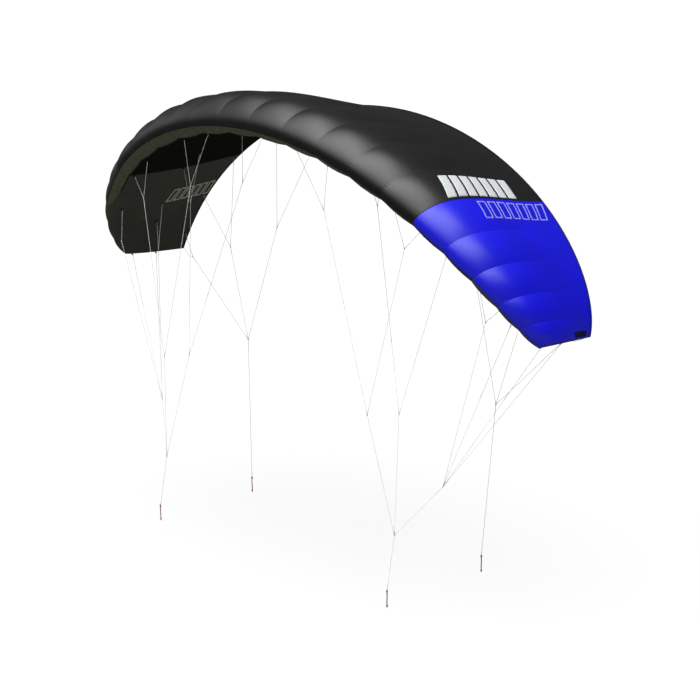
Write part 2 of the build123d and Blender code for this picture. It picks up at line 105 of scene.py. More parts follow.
PIVOT = 0.008  # from a joint to the end of the CAD cord at it
PIGTAIL_LENGTH, PIGTAIL_RADIUS, STOPPER_UP = 0.104, 0.0035, 0.012
LINE_RADIUS, MAIN_RADIUS = 0.0015, 0.0017
ORIGIN = np.array((0.0, -0.557458, 3.017939))  # middle front attachment point

# ---- fullness of the cloth half way between ribs ----
PUFF = 0.092  # the greatest above, as a share of the cell width; the three lines below are shares of it
NOSE_PUFF, NOSE_PUFF_TIP = 0.10, 0.65  # at the nose in the middle, and what the tips have more
LIP_PUFF, PUFF_BELOW = 0.55, 0.40  # at the intakes' rear edge, and under the rear part
BEHIND_PUFF, BEHIND_PUFF_TIP = 0.75, 0.2  # behind that edge in the middle, and the tips' share of it
PUFF_PEAK, LIP_BY = 0.15, 0.04  # chord shares where the fullness is complete, above and at that edge
BEHIND_OVER, REAR_OVER = (0.06, 0.16), (0.18, 0.43)  # chord shares over which it changes below
FADE_ABOVE, FADE_BELOW = 1.9, 1.5  # how fast it fades towards the trailing edge

# ---- dimensions of the soft finish ----
CLOTH, BAND_CLOTH, TAPE, INK_THICKNESS = 0.0006, 0.0008, 0.0010, 0.0003
BRAKE_FROM = 0.50  # chord share where the brake weight starts to rise
HEM, HEM_OUT = 0.014, 0.0016  # width of the folded tape, and how far it stands off the edge
RIPSTOP, THREAD = 0.0085, 0.0013  # pitch and width of the heavier threads
WEAVE = 4800.0  # radians of plain weave in a metre
BAND, BAND_ACROSS, BAND_ROUND = 0.023, 0.009, 0.007  # pitch and widths of darker bands in the weave
STITCH_FROM_SEAM, STITCH_WIDTH, STITCH = 0.007, 0.0012, 0.0045  # row's place, width and pitch
NET, NET_THREAD = 0.0030, 0.0019  # pitch and width of the intake net's threads

# Bridle junctions for the side with x > 0, in cells from the middle front attachment point.
A_INNER, A_MIDDLE, A_TIP = (2.263, 0.221, -1.380), (4.413, 0.472, -1.928), (6.146, 1.012, -3.227)
C_INNER, C_MIDDLE, C_TIP = (2.269, 1.680, -1.460), (4.330, 1.740, -2.150), (5.926, 1.921, -3.488)
JOIN_A, JOIN_C, JOIN_TIP = (3.500, 0.255, -5.472), (3.608, 1.035, -5.578), (4.839, 1.110, -6.876)
FRONT_KNOT, FRONT_END = (3.965, 0.560, -8.000), (3.973, 0.337, -9.167)
B_INNER, B_OUTER, B_TIP = (3.300, 3.478, -2.839), (4.940, 3.347, -3.505), (6.232, 3.171, -3.903)
REAR_KNOT, REAR_END = (4.208, 3.251, -5.664), (3.965, 3.079, -9.054)
A_AT, C_AT, BRAKE_AT = 0.11, 0.50, 0.93
ROWS = {
    "upper_lines_a": (A_AT, (((1.5, 2.5), A_INNER), ((4.5, 5.5), A_MIDDLE), ((7.5, 8.5), A_TIP))),
    "upper_lines_c": (C_AT, (((1.5, 2.5), C_INNER), ((4.5, 5.5), C_MIDDLE), ((7.5, 8.5), C_TIP))),
    "brake_upper_lines": (BRAKE_AT, (((1.5, 3.5), B_INNER), ((5.5, 7.5), B_OUTER), ((9.5,), B_TIP))),
}
SECOND_LEVEL = [(A_INNER, JOIN_A), (A_MIDDLE, JOIN_A), (A_TIP, JOIN_TIP),
                (C_INNER, JOIN_C), (C_MIDDLE, JOIN_C), (C_TIP, JOIN_TIP)]
THIRD_LEVEL = [(JOIN_A, FRONT_KNOT), (JOIN_C, FRONT_KNOT), (JOIN_TIP, FRONT_KNOT)]
BRAKE_LEVEL = [(B_INNER, REAR_KNOT), (B_OUTER, REAR_KNOT), (B_TIP, REAR_KNOT)]
GREY_SHARE = {C_INNER: 0.654, C_MIDDLE: 0.629, C_TIP: 0.4315}  # grey upper part of a spliced line
TIP_GREY_SHARE = {A_AT: 0.36, C_AT: 0.52}


def smooth(x):
    x = np.clip(x, 0.0, 1.0)
    return x * x * (3 - 2 * x)


def unit(vectors):
    return vectors / np.linalg.norm(vectors, axis=-1, keepdims=True)


def smooth_over(x, span):
    return smooth((x - span[0]) / (span[1] - span[0]))


# ---- the arc and the section ----
def cell_width(k):
    return CELL * (1 - TAPER * (k / TIP_RIB) ** 2)


def lean(k):
    u = np.abs(k) / TIP_RIB
    return np.sign(k) * (ARC[0] * u + ARC[1] * u**3)


ARC_AT = np.linspace(0, TIP_RIB, 1051)
ARC_MIDDLES = (ARC_AT[1:] + ARC_AT[:-1]) / 2
ARC_STEPS = cell_width(ARC_MIDDLES) * np.diff(ARC_AT)
ARC_X = np.concatenate(([0], np.cumsum(ARC_STEPS * np.cos(lean(ARC_MIDDLES)))))
ARC_Z = -np.concatenate(([0], np.cumsum(ARC_STEPS * np.sin(lean(ARC_MIDDLES)))))
ARC_LENGTH = np.concatenate(([0], np.cumsum(ARC_STEPS)))


def chord_line(k):
    u = np.abs(k) / TIP_RIB
    lip = LIP[0] - LIP[1] * u * u
    front = CELL * (SWEEP[0] * u**2 + SWEEP[1] * u**4)
    rear = CELL * (TAIL[0] - TAIL[1] * u**2 - TAIL[2] * u**4)
    rise = CELL * (TAIL_RISE[0] - TAIL_RISE[1] * u**2 - TAIL_RISE[2] * u**4)
    chord = (rear - front) / (1 - lip)
    low = camber(lip) - half_thickness(k, lip)
    tilt = np.arctan2(rise + low * chord, (1 - lip) * chord)
    return front, low, chord, tilt, lip


def half_thickness(k, at):
    share = THICKNESS[0] - THICKNESS[1] * (np.abs(k) / TIP_RIB) ** 2
    curve = 0.2969 * np.sqrt(at) - 0.1260 * at - 0.3516 * at**2 + 0.2843 * at**3 - 0.1036 * at**4
    return 5 * share * curve * (1 - REAR_FLAT * at * at)


def camber(at):
    ahead = CAMBER / CAMBER_AT**2 * (2 * CAMBER_AT * at - at * at)
    behind = CAMBER / (1 - CAMBER_AT) ** 2 * (1 - 2 * CAMBER_AT + 2 * CAMBER_AT * at - at * at)
    return np.where(at < CAMBER_AT, ahead, behind)


def section_point(k, turn):
    """Point of a section without fullness, as (along Y, height above the arc)."""
    front, low, chord, tilt, lip = chord_line(k)
    at = np.clip((1 - np.cos(turn)) / 2, 0, 1)
    high = camber(at) + np.sign(turn) * half_thickness(k, at)
    back = np.clip((at - lip) / (1 - lip), 0, 1)
    belly = low * (1 - back) - BELLY * np.sin(np.pi * back**0.8)
    high = np.where((turn < 0) & (at > lip), belly, high)
    along, up = (at - lip) * chord, (high - low) * chord
    return (
        front + along * np.cos(tilt) - up * np.sin(tilt),
        along * np.sin(tilt) + up * np.cos(tilt),
    )


def puff_size(k, turn):
    """How far the cloth stands out half way between ribs, as a share of the cell width."""
    at = np.clip((1 - np.cos(turn)) / 2, 0, 1)
    outward = (k / TIP_RIB) ** 2
    nose = NOSE_PUFF + NOSE_PUFF_TIP * outward
    above = nose + (1 - nose) * smooth(at / PUFF_PEAK)
    behind = BEHIND_PUFF * (1 - (1 - BEHIND_PUFF_TIP) * outward)
    below = nose + (LIP_PUFF - nose) * smooth(at / LIP_BY)
    below = below + behind * smooth_over(at, BEHIND_OVER)
    below = below - (LIP_PUFF + behind - PUFF_BELOW) * smooth_over(at, REAR_OVER)
    return PUFF * np.where(turn > 0, above * (1 - at) ** FADE_ABOVE, below * (1 - at) ** FADE_BELOW)


def to_frame(k, y, height):
    """Frame position of a point given on the plane of rib k."""
    x = np.sign(k) * np.interp(np.abs(k), ARC_AT, ARC_X)
    z = np.interp(np.abs(k), ARC_AT, ARC_Z)
    angle = lean(k)
    spot = (x + height * np.sin(angle), y + 0 * height, z + height * np.cos(angle))
    return np.stack(np.broadcast_arrays(*spot), axis=-1) + ORIGIN


def skin_point(k, turn, full):
    y, height = section_point(k, turn)
    y0, h0 = section_point(k, np.maximum(turn - 0.01, -np.pi))
    y1, h1 = section_point(k, np.minimum(turn + 0.01, np.pi))
    length = np.hypot(y1 - y0, h1 - h0)
    out = full * puff_size(k, turn) * cell_width(k)
    return to_frame(k, y - (h1 - h0) / length * out, height + (y1 - y0) / length * out)


def y_at(k, share):
    front, _, chord, tilt, lip = chord_line(k)
    return ORIGIN[1] + front + (share - lip) * chord * np.cos(tilt)


def brake_weight(k, y):
    """0 where cloth would stay with the canopy, 1 where it would move with the brake, by rib and Y."""
    start, end = y_at(k, BRAKE_FROM), y_at(k, FLAP_AT)
    return smooth((y - start) / (end - start)) * smooth(np.abs(k) - 0.5)


# ---- the whole sheet: one grid of stations along the span and rows round the section ----
PER_CELL, ROWS_BELOW, ROWS_INTAKE, ROWS_ABOVE = 14, 38, 8, 62
ACROSS = (1 - np.cos(np.pi * np.arange(PER_CELL) / PER_CELL)) / 2
CELLS = round(2 * TIP_RIB)
STATIONS = np.append((np.arange(CELLS)[:, None] + ACROSS[None, :]).ravel() - TIP_RIB, TIP_RIB)
LIP_ROW, NOSE_ROW = ROWS_BELOW, ROWS_BELOW + ROWS_INTAKE
BORDER_ROW = NOSE_ROW - 2  # the upper cloth wraps a little under the nose
LAST_ROW = NOSE_ROW + ROWS_ABOVE


def intake_turn(k):
    """Turn of the intake's rear edge: the attachment line, closing beside the last intake."""
    share = chord_line(k)[4] * np.clip(INTAKE_TO - np.abs(k), 0, 1)
    return -np.arccos(1 - 2 * share)


def row_turn(k, row):
    lip = intake_turn(k)
    below = -np.pi + (lip + np.pi) * row / ROWS_BELOW
    intake = lip * (NOSE_ROW - row) / ROWS_INTAKE
    above = np.pi * (row - NOSE_ROW) / ROWS_ABOVE
    return np.where(row < LIP_ROW, below, np.where(row < NOSE_ROW, intake, above))


def fullness(k):
    across = np.mod(k + TIP_RIB, 1.0)
    return 4 * across * (1 - across)


GRID_K = np.repeat(STATIONS[:, None], LAST_ROW + 1, axis=1)
GRID_TURN = row_turn(GRID_K, np.arange(LAST_ROW + 1)[None, :])
sheet = skin_point(GRID_K, GRID_TURN, fullness(GRID_K))


def station(k):
    return round((k + TIP_RIB) * PER_CELL)


# ---- mesh building ----
def in_scene(name, data):
    obj = bpy.data.objects.new(name, data)
    bpy.context.scene.collection.objects.link(obj)
    return obj


def new_object(name, vertices, faces, material, uvs=None):
    """Mesh object from arrays; uvs maps a layer name to one (u, v) for each face corner."""
    mesh = bpy.data.meshes.new(name)
    mesh.from_pydata(np.asarray(vertices).tolist(), [], [list(face) for face in faces])
    for layer, values in (uvs or {}).items():
        uv = mesh.uv_layers.new(name=layer)
        uv.data.foreach_set("uv", np.asarray(values, np.float32).ravel())
    mesh.polygons.foreach_set("use_smooth", [True] * len(mesh.polygons))
    mesh.materials.append(material)
    mesh.validate()
    mesh.update()
    return in_scene(name, mesh)


def grid_faces(across, along):
    index = np.arange(across * along).reshape(across, along)
    quads = (index[:-1, :-1], index[1:, :-1], index[1:, 1:], index[:-1, 1:])
    return np.stack(quads, axis=-1).reshape(-1, 4)


@contextmanager
def editing(mesh, source=None):
    """The mesh, or another one, as a bmesh that is written to the mesh at the end of the block."""
    work = bmesh.new()
    work.from_mesh(source or mesh)
    yield work
    work.to_mesh(mesh)
    work.free()


def grid_object(name, points, layers, material, thickness=CLOTH, keep=None):
    """Sheet from a grid of points, given a thickness on its inner side."""
    across, along = points.shape[:2]
    faces = grid_faces(across, along)
    if keep is not None:
        faces = faces[keep.ravel()]
    uvs = {layer: values.reshape(-1, 2)[faces.ravel()] for layer, values in layers.items()}
    obj = new_object(name, points.reshape(-1, 3), faces, material, uvs)
    with editing(obj.data) as mesh:
        loose = [v for v in mesh.verts if not v.link_faces]
        bmesh.ops.delete(mesh, geom=loose, context="VERTS")
        flat = [e for e in mesh.edges if e.calc_length() < 1e-6]
        bmesh.ops.collapse(mesh, edges=flat)
    if thickness:
        shell = obj.modifiers.new("cloth thickness", "SOLIDIFY")
        shell.thickness = thickness
        shell.offset = -1
    return obj


def nearest_k(points):
    """Rib number of points near the canopy, from the rib planes that they lie on."""
    steps = np.arange(-TIP_RIB, TIP_RIB + 0.01, 0.05)
    base = to_frame(steps, 0 * steps, 0 * steps)
    angle = lean(steps)
    apart = points[:, None, :] - base[None, :, :]
    off = apart[..., 0] * np.cos(angle) - apart[..., 2] * np.sin(angle)
    best = np.abs(off).argmin(axis=1)
    rows = np.arange(len(points))
    return np.clip(steps[best] + off[rows, best] / cell_width(steps[best]), -TIP_RIB, TIP_RIB)


def bend_with_brake(obj):
    """Bakes the piece's transform and works out a brake weight for each of its points."""
    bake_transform(obj)
    points = np.array([v.co for v in obj.data.vertices]).reshape(-1, 3)
    weight = brake_weight(nearest_k(points), points[:, 1])


def settle(obj, side, nodes=()):
    """Attaches a piece without a side to the canopy body, and hides the nodes that it stands for."""
    if side:
        bend_with_brake(obj)
    else:
        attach(obj, "canopy")
    if nodes:
        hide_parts(*nodes)


# ---- materials ----
def linear(screen):
    """Linear colour of 8-bit screen values."""
    values = [c / 255 for c in screen]
    return tuple(c / 12.92 if c <= 0.04045 else ((c + 0.055) / 1.055) ** 2.4 for c in values) + (1,)


def scaled(colour, factor):
    return tuple(min(c * factor, 1.0) for c in colour[:3]) + (1,)


class Finish:
    """Nodes of a new material or world, with short ways to add and link them."""

    def __init__(self, name, kind="materials"):
        self.owner = getattr(bpy.data, kind).new(name)
        self.owner.use_nodes = True
        self.tree = self.owner.node_tree
        self.tree.nodes.clear()

    def add(self, kind, inputs=None, **settings):
        node = self.tree.nodes.new("ShaderNode" + kind)
        for key, value in settings.items():
            setattr(node, key, value)
        for key, value in (inputs or {}).items():
            if isinstance(value, bpy.types.NodeSocket):
                self.tree.links.new(value, node.inputs[key])
            elif value is not None:
                node.inputs[key].default_value = value
        return node

    def math(self, operation, a, b=0.0):
        return self.add("Math", {0: a, 1: b}, operation=operation).outputs[0]

    def times(self, a, b):
        return self.math("MULTIPLY", a, b)

    def plus(self, a, b):
        return self.math("ADD", a, b)

    def minus(self, a, b):
        return self.math("SUBTRACT", a, b)

    def larger(self, a, b):
        return self.math("MAXIMUM", a, b)

    def uv(self, layer):
        where = self.add("UVMap", uv_map=layer).outputs[0]
        return where, *self.add("SeparateXYZ", {0: where}).outputs[:2]

    def place(self):
        where = self.add("TexCoord").outputs["Object"]
        return where, self.add("SeparateXYZ", {0: where}).outputs

    def noise(self, place, scale, detail=3.0):
        keys = {"Vector": place, "Scale": scale, "Detail": detail}
        return self.add("TexNoise", keys).outputs["Fac"]

    def fade(self, value, low, high, start=0.0, end=1.0):
        keys = {"Value": value, "From Min": low, "From Max": high, "To Min": start, "To Max": end}
        return self.add("MapRange", keys, interpolation_type="SMOOTHSTEP").outputs["Result"]

    def lines(self, along, pitch, width):
        """1 on lines of a given width, one each pitch."""
        return self.math("LESS_THAN", self.math("PINGPONG", along, pitch / 2), width / 2)

    def grid(self, u, v, pitch, width):
        return self.larger(self.lines(u, pitch, width), self.lines(v, pitch, width))

    def mix(self, share, a, b):
        """Colour between a and b; a colour mix has its colours at sockets 6 and 7 and its result at 2."""
        return self.add("Mix", {0: share, 6: a, 7: b}, data_type="RGBA").outputs[2]

    def bump(self, height, distance, strength=1.0, normal=None):
        keys = {"Height": height, "Distance": distance, "Strength": strength, "Normal": normal}
        return self.add("Bump", keys).outputs[0]

    def surface(self, colour, roughness, normal=None, specular=0.5, sheen=0.0):
        keys = {"Base Color": colour, "Roughness": roughness, "Specular IOR Level": specular,
                "Normal": normal, "Sheen Weight": sheen, "Sheen Roughness": 0.45}
        return self.add("BsdfPrincipled", keys).outputs[0]

    def either(self, share, first, second):
        return self.add("MixShader", {0: share, 1: first, 2: second}).outputs[0]

    def done(self, shader):
        self.add("OutputMaterial", {"Surface": shader})
        return self.owner


def kite_cloth(name, colour, thread, roughness=0.35, specular=0.68):
    """Coated ripstop: a square grid of heavier threads, a row of stitches beside each seam, and painted
    shade in the crease along each seam.
    """
    f, colour, thread = Finish(name), linear(colour), linear(thread)
    place, u, v = f.uv("cloth")
    _, from_seam, along = f.uv("seam")
    grid = f.grid(u, v, RIPSTOP, THREAD)
    clouds = f.noise(place, 2.2, 4.0)
    grain = f.noise(place, 130.0, 2.0)
    shade = f.plus(f.times(clouds, 0.5), f.times(grain, 0.5))
    base = f.mix(f.fade(shade, 0.30, 0.70), scaled(colour, 0.80), scaled(colour, 1.22))
    base = f.mix(f.times(grid, 0.40), base, thread)
    bands = f.larger(f.lines(u, BAND, BAND_ACROSS), f.lines(v, BAND, BAND_ROUND))
    base = f.mix(f.times(bands, 0.22), base, scaled(colour, 0.45))
    # painted shade: the cloth is darkened in the crease within 4 mm of each rib seam
    fold = f.fade(from_seam, 0.0, 0.004, 0.12, 0.0)
    base = f.mix(fold, base, scaled(colour, 0.25))
    row = f.math("ABSOLUTE", f.minus(from_seam, STITCH_FROM_SEAM))
    dash = f.math("LESS_THAN", f.math("FRACT", f.math("DIVIDE", along, STITCH)), 0.62)
    stitch = f.times(f.math("LESS_THAN", row, STITCH_WIDTH / 2), dash)
    base = f.mix(f.times(stitch, 0.5), base, thread)
    pucker = f.math("SINE", f.plus(f.times(along, 260.0), f.times(f.noise(place, 9.0), 14.0)))
    pucker = f.times(pucker, f.fade(from_seam, 0.0, 0.03, 1.0, 0.0))
    weave = f.times(f.math("SINE", f.times(u, WEAVE)), f.math("SINE", f.times(v, WEAVE)))
    normal = f.bump(pucker, 0.0002)
    normal = f.bump(f.noise(place, 5.0, 5.0), 0.004, 0.5, normal)
    normal = f.bump(f.plus(grid, stitch), 0.0001, 0.6, normal)
    normal = f.bump(weave, 0.00003, 0.5, normal)
    rough = f.plus(roughness, f.times(f.minus(grain, 0.5), 0.16))
    return f.done(f.surface(base, rough, normal, specular))


def plain_cloth(name, colour, roughness=0.6, pitch=0.004, specular=0.25):
    """Uncoated or inner cloth and tape, patterned by its place in the frame."""
    f, colour = Finish(name), linear(colour)
    place, (_, y, z) = f.place()
    threads = f.grid(y, z, pitch, pitch * 0.25)
    clouds = f.fade(f.noise(place, 12.0, 4.0), 0.3, 0.7)
    base = f.mix(clouds, scaled(colour, 0.75), scaled(colour, 1.25))
    base = f.mix(f.times(threads, 0.35), base, scaled(colour, 1.9))
    normal = f.bump(threads, 0.00015, 0.6)
    normal = f.bump(f.noise(place, 60.0), 0.0006, 0.4, normal)
    return f.done(f.surface(base, roughness, normal, specular))


def print_ink(name, colour):
    """Screen print on the cloth, with the ripstop grid showing through and worn edges."""
    f, colour = Finish(name), linear(colour)
    place, u, v = f.uv("cloth")
    grid = f.grid(u, v, RIPSTOP, THREAD)
    worn = f.fade(f.noise(place, 40.0, 6.0), 0.62, 0.72, 0.0, 0.35)
    base = f.mix(f.times(grid, 0.3), colour, scaled(colour, 0.6))
    base = f.mix(worn, base, scaled(colour, 0.5))
    normal = f.bump(grid, 0.0001, 0.6)
    return f.done(f.surface(base, 0.5, normal, 0.35))


def open_net(name, colour):
    """Woven net over the intake windows, open between its threads."""
    f, colour = Finish(name), linear(colour)
    place, u, v = f.uv("cloth")
    threads = f.grid(u, v, NET, NET_THREAD)
    base = f.mix(f.noise(place, 30.0), scaled(colour, 0.8), scaled(colour, 1.2))
    solid = f.surface(base, 0.6, f.bump(threads, 0.0004, 0.7), 0.3)
    clear = f.add("BsdfTransparent").outputs[0]
    return f.done(f.either(threads, clear, solid))


def cord_sheath(name, colour, fleck, strands=8, pitch=0.006):
    """Braided sheath: two families of strands crossing round the cord, with painted shade in the grooves
    between strands and painted light on their crests.
    """
    f, colour, fleck = Finish(name), linear(colour), linear(fleck)
    place, u, v = f.uv("cord")
    round_it = f.times(u, math.tau * strands / 2)
    up_it = f.times(v, math.tau / pitch)
    left = f.math("SINE", f.plus(round_it, up_it))
    right = f.math("SINE", f.minus(round_it, up_it))
    braid = f.times(left, right)
    # painted shade and light: darker where the braid's height is low, in the grooves, and lighter on the
    # strand crests
    base = f.mix(f.fade(braid, -0.6, 0.8), scaled(colour, 0.62), scaled(colour, 1.12))
    flecks = f.math("GREATER_THAN", f.noise(place, 900.0, 1.0), 0.63)
    base = f.mix(f.times(flecks, 0.5), base, fleck)
    normal = f.bump(braid, pitch * 0.06, 0.8)
    return f.done(f.surface(base, 0.5, normal, 0.4, 0.15))


# colours as 8-bit screen values
black_cloth = kite_cloth("cloth black", (15, 15, 13), (40, 40, 39))
blue_cloth = kite_cloth("cloth blue", (10, 10, 224), (34, 34, 246))
grey_cloth = kite_cloth("cloth grey", (52, 53, 50), (78, 79, 75))
black_lining = kite_cloth("cloth black below", (26, 26, 21), (34, 34, 28), 0.8, 0.0)
grey_lining = kite_cloth("cloth olive grey", (71, 71, 62), (84, 84, 74), 0.7, 0.05)
band_cloth = kite_cloth("intake cloth", (96, 95, 75), (100, 99, 80), 0.65, 0.06)
net = open_net("intake net", (100, 99, 79))
tape = plain_cloth("edge tape", (22, 22, 21), 0.55, 0.0025, 0.3)
blue_tape = plain_cloth("edge tape blue", (16, 17, 120), 0.55, 0.0025, 0.3)
grey_tape = plain_cloth("edge tape grey", (36, 36, 33), 0.55, 0.0025, 0.3)
rib_cloth = plain_cloth("rib cloth", (34, 34, 32), 0.7)
webbing = plain_cloth("webbing", (30, 30, 30), 0.6, 0.0016)
white_ink = print_ink("print pale", (214, 217, 218))
blue_ink = print_ink("print outline", (150, 152, 236))
olive_ink = print_ink("print olive", (186, 186, 164))
patch_cloth = plain_cloth("patch", (14, 14, 58), 0.55, 0.0018)
grey_line = cord_sheath("line grey", (216, 217, 218), (180, 181, 182))
white_line = cord_sheath("line white", (244, 245, 246), (226, 228, 230))
knot_cord = cord_sheath("knot cord", (120, 122, 124), (80, 81, 83))
red_cord = cord_sheath("cord red", (196, 22, 38), (120, 8, 16), 12, 0.008)
dark_red_cord = cord_sheath("cord dark red", (112, 14, 30), (60, 6, 12), 12, 0.008)
dark_cord = cord_sheath("cord dark", (52, 52, 54), (110, 110, 112), 12, 0.008)

# ---- cloth simulation: the sheet is a little larger than its ribs allow, so it wrinkles ----
SIM_FRAMES, SIM_CAP = 14, 0.006  # frames run, and how far the cloth may move from its drawn shape
SIM_CLOTH = dict(
    quality=6, mass=0.02, tension_stiffness=30, compression_stiffness=30, shear_stiffness=12,
    bending_stiffness=0.02, air_damping=4, shrink_min=-0.012,
    use_pressure=True, uniform_pressure_force=0.6, vertex_group_mass="held",
)


def relax_sheet(points):
    """Runs the inflated sheet as cloth, held along every rib and the trailing edge."""
    across, along = points.shape[:2]
    obj = new_object("sheet_for_cloth", points.reshape(-1, 3), grid_faces(across, along), black_cloth)
    held = np.zeros((across, along), bool)
    held[::PER_CELL] = True
    held[:, [0, -1]] = True
    pins = obj.vertex_groups.new(name="held")
    pins.add(np.flatnonzero(held.ravel()).tolist(), 1.0, "REPLACE")
    cloth = obj.modifiers.new("cloth", "CLOTH")
    for key, value in SIM_CLOTH.items():
        setattr(cloth.settings, key, value)
    cloth.settings.effector_weights.gravity = 0
    cloth.collision_settings.use_collision = False
    scene = bpy.context.scene
    for number in range(1, SIM_FRAMES + 1):
        scene.frame_set(number)
    done = obj.evaluated_get(bpy.context.evaluated_depsgraph_get()).to_mesh()
    moved = np.zeros(len(done.vertices) * 3)
    done.vertices.foreach_get("co", moved)
    scene.frame_set(1)
    bpy.data.objects.remove(obj)
    shift = moved.reshape(points.shape) - points
    size = np.linalg.norm(shift, axis=-1, keepdims=True)
    return points + shift * np.minimum(1, SIM_CAP / np.maximum(size, 1e-9))


sheet = relax_sheet(sheet)

# ---- coordinates on the sheet, for weave, seams and everything sewn or printed on it ----
SPAN_LENGTH = np.sign(GRID_K) * np.interp(np.abs(GRID_K), ARC_AT, ARC_LENGTH)
STEP_ROUND = np.linalg.norm(np.diff(sheet, axis=1), axis=-1)
ROUND_LENGTH = np.concatenate((np.zeros((len(STATIONS), 1)), np.cumsum(STEP_ROUND, 1)), 1)
ROUND_LENGTH = ROUND_LENGTH - ROUND_LENGTH[:, [NOSE_ROW]]
TO_SEAM = np.abs(GRID_K - 0.5 - np.round(GRID_K - 0.5)) * cell_width(GRID_K)
CLOTH_UV = np.stack((SPAN_LENGTH, ROUND_LENGTH), -1)
SEAM_UV = np.stack((TO_SEAM, ROUND_LENGTH), -1)
ALONG_SPAN, ALONG_ROWS = np.gradient(sheet, axis=0), np.gradient(sheet, axis=1)
OUTWARD = np.cross(ALONG_SPAN, ALONG_ROWS)
OUTWARD /= np.maximum(np.linalg.norm(OUTWARD, axis=-1, keepdims=True), 1e-12)


def row_of(k, turn):
    """Fractional row of the grid at a turn round the section."""
    lip = intake_turn(k)
    below = (turn + np.pi) / (lip + np.pi) * ROWS_BELOW
    intake = NOSE_ROW - turn / np.minimum(lip, -1e-9) * ROWS_INTAKE
    above = NOSE_ROW + turn / np.pi * ROWS_ABOVE
    return np.where(turn < lip, below, np.where(turn < 0, intake, above))


def sample(grid, k, turn):
    """Value of a grid of the sheet between its points."""
    i = np.clip(np.interp(k, STATIONS, np.arange(len(STATIONS))), 0, len(STATIONS) - 1.001)
    j = np.clip(row_of(k, turn), 0, LAST_ROW - 0.001)
    i0, j0 = i.astype(int), j.astype(int)
    a, b = (i - i0)[..., None], (j - j0)[..., None]
    front = grid[i0, j0] * (1 - b) + grid[i0, j0 + 1] * b
    back = grid[i0 + 1, j0] * (1 - b) + grid[i0 + 1, j0 + 1] * b
    return front * (1 - a) + back * a


def turn_at(share, above=True):
    return np.arccos(1 - 2 * np.asarray(share, float)) * (1 if above else -1)


def on_sheet(k, turn, lift=0.0):
    k, turn = np.broadcast_arrays(np.asarray(k, float), np.asarray(turn, float))
    return sample(sheet, k, turn) + sample(OUTWARD, k, turn) * lift


# ---- the cloth panels ----
def panel(name, ribs, rows, material, slot, side, nodes):
    cut = (slice(station(ribs[0]), station(ribs[1]) + 1), slice(rows[0], rows[1] + 1))
    layers = {"cloth": CLOTH_UV[cut], "seam": SEAM_UV[cut]}
    settle(grid_object(name, sheet[cut], layers, material), side, nodes)


UPPER, LOWER = (BORDER_ROW, LAST_ROW), (0, LIP_ROW)
PANELS = (
    ("left_tip", (-TIP_RIB, -COLOUR_RIB), "left", "left"),
    ("left_middle", (-COLOUR_RIB, -0.5), "left", "centre"),
    ("middle", (-0.5, 0.5), None, "centre"),
    ("right_middle", (0.5, COLOUR_RIB), "right", "centre"),
    ("right_tip", (COLOUR_RIB, TIP_RIB), "right", "right"),
)
LOOKS = {
    "left": ((grey_cloth, "cloth_grey"), (grey_lining, "cloth_olive_grey"), grey_tape),
    "centre": ((black_cloth, "cloth_black"), (black_lining, "cloth_olive_black"), tape),
    "right": ((blue_cloth, "cloth_blue"), (grey_lining, "cloth_olive_grey"), blue_tape),
}
for name, ribs, side, node in PANELS:
    tail = [f"brake_flap_{side}"] if side else ["trailing_edge_centre"]
    above, below, _ = LOOKS[node]
    panel(f"upper_cloth_{name}", ribs, UPPER, *above, side, [f"upper_skin_{node}"] + tail)
    panel(f"lower_cloth_{name}", ribs, LOWER, *below, side, [f"lower_skin_{node}"] + tail)

# ---- the intake band: three net windows in each cell but the outermost ----
BAR, RIM = 0.014, 0.17  # tape between windows, and the band's rim as a share of its depth


def band_stations():
    """Stations of the band's own grid, with lines at every window edge."""
    marks, windows = [], []
    for cell in range(round(2 * INTAKE_TO)):
        inner = cell - INTAKE_TO
        width = cell_width(inner + 0.5)
        bar = BAR / width
        wide = (1 - 4 * bar) / 3
        open_cell = 0 < cell < round(2 * INTAKE_TO) - 1
        for i in range(3):
            low = inner + bar + i * (wide + bar)
            marks += [low - bar, low - bar / 2, *np.linspace(low, low + wide, 6)]
            windows += [(low, low + wide)] if open_cell else []
    return np.array(marks + [INTAKE_TO]), windows


def build_band():
    marks, windows = band_stations()
    rows = np.array([0, RIM * 0.5, RIM, 0.34, 0.5, 0.66, 1 - RIM, 1 - RIM * 0.5, 1])
    k = np.repeat(marks[:, None], len(rows), axis=1)
    turn = intake_turn(k) * (1 - rows[None, :] * (BORDER_ROW - LIP_ROW) / ROWS_INTAKE)
    points = on_sheet(k, turn)
    uv = sample(CLOTH_UV, k, turn)
    layers = {"cloth": uv, "seam": sample(SEAM_UV, k, turn)}
    middle = (marks[1:] + marks[:-1]) / 2
    inside = np.zeros((len(middle), len(rows) - 1), bool)
    for low, high in windows:
        inside[(middle > low) & (middle < high), 2:6] = True
    band = grid_object("intake_cloth", points, layers, band_cloth, BAND_CLOTH, ~inside)
    settle(band, None, ["intake_band"])
    screen = points - sample(OUTWARD, k, turn) * CLOTH
    windows = grid_object("intake_net", screen, {"cloth": uv}, net, 0.0, inside)
    settle(windows, None, ["intake_band"])


build_band()


def edge_tape(name, k_line, turn_line, width, lift):
    """Flat tape of a real width, sewn on the sheet along a line of (rib, turn)."""
    step = 0.02
    ahead, behind = on_sheet(k_line, turn_line - step), on_sheet(k_line, turn_line + step)
    half = width * step / np.linalg.norm(behind - ahead, axis=-1)
    across = np.linspace(-1, 1, 5)
    k = np.repeat(k_line[:, None], 5, axis=1)
    turn = turn_line[:, None] + half[:, None] * across
    rise = lift * (1 - 0.5 * across**4)
    points = on_sheet(k, turn) + sample(OUTWARD, k, turn) * rise[:, None]
    obj = grid_object(name, points, {"cloth": sample(CLOTH_UV, k, turn)}, tape, TAPE)
    settle(obj, None)


